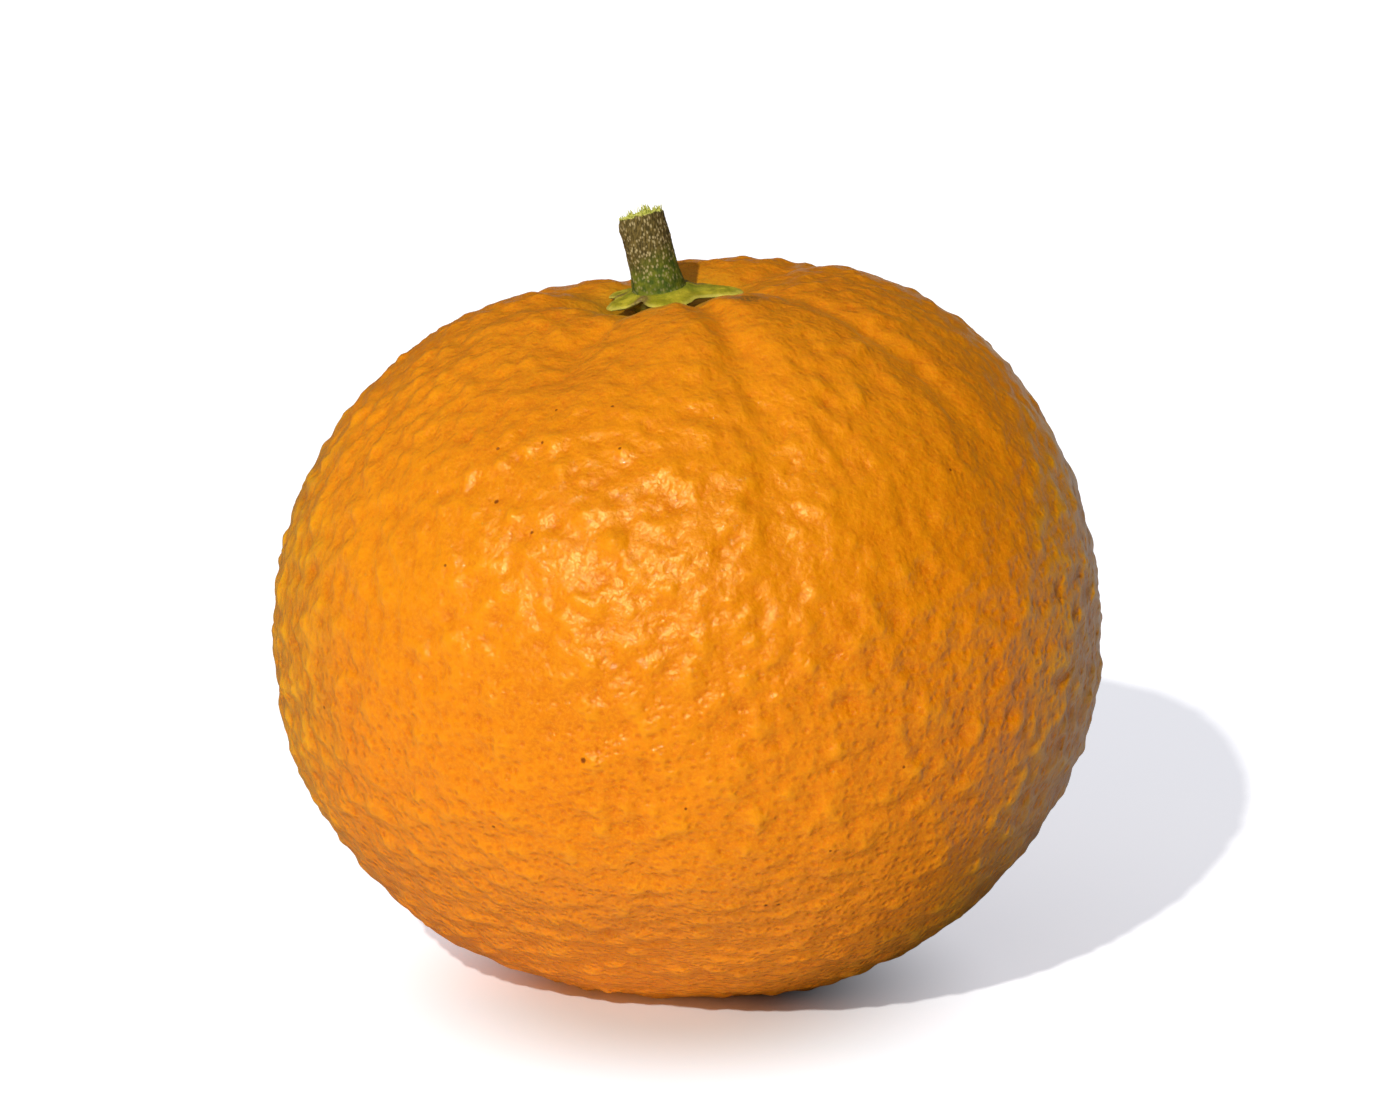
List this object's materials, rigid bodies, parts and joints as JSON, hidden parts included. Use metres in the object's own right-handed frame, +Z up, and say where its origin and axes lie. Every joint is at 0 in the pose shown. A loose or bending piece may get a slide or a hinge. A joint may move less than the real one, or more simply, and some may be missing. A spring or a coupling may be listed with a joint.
{
  "type": "orange",
  "caption": "Whole ripe orange with a pebbled peel, shallow furrows running out from a sunken stem cavity, a green calyx and a short cut stem, resting on its underside.",
  "frame": {"origin": "centre of the outer box, on the surface that the fruit rests on", "axes": "+Z up, +X to the right across the fruit's widest way, -Y to the front, where the two deepest furrows run down; the stem leans to -X"},
  "size_m": [0.082, 0.0802, 0.0776],
  "materials": {
    "peel": "waxy orange citrus peel with pebbles and oil-gland pits, satin sheen",
    "calyx": "matt yellow-green living sepals with corky grey-brown notches",
    "stem": "rough grey-brown bark with pale streaks, green near the fruit, pale torn fibres on the cut end"
  },
  "bodies": {
    "root": {"fruit": "peel", "calyx": "calyx", "stem": "stem"}
  },
  "joints": []
}
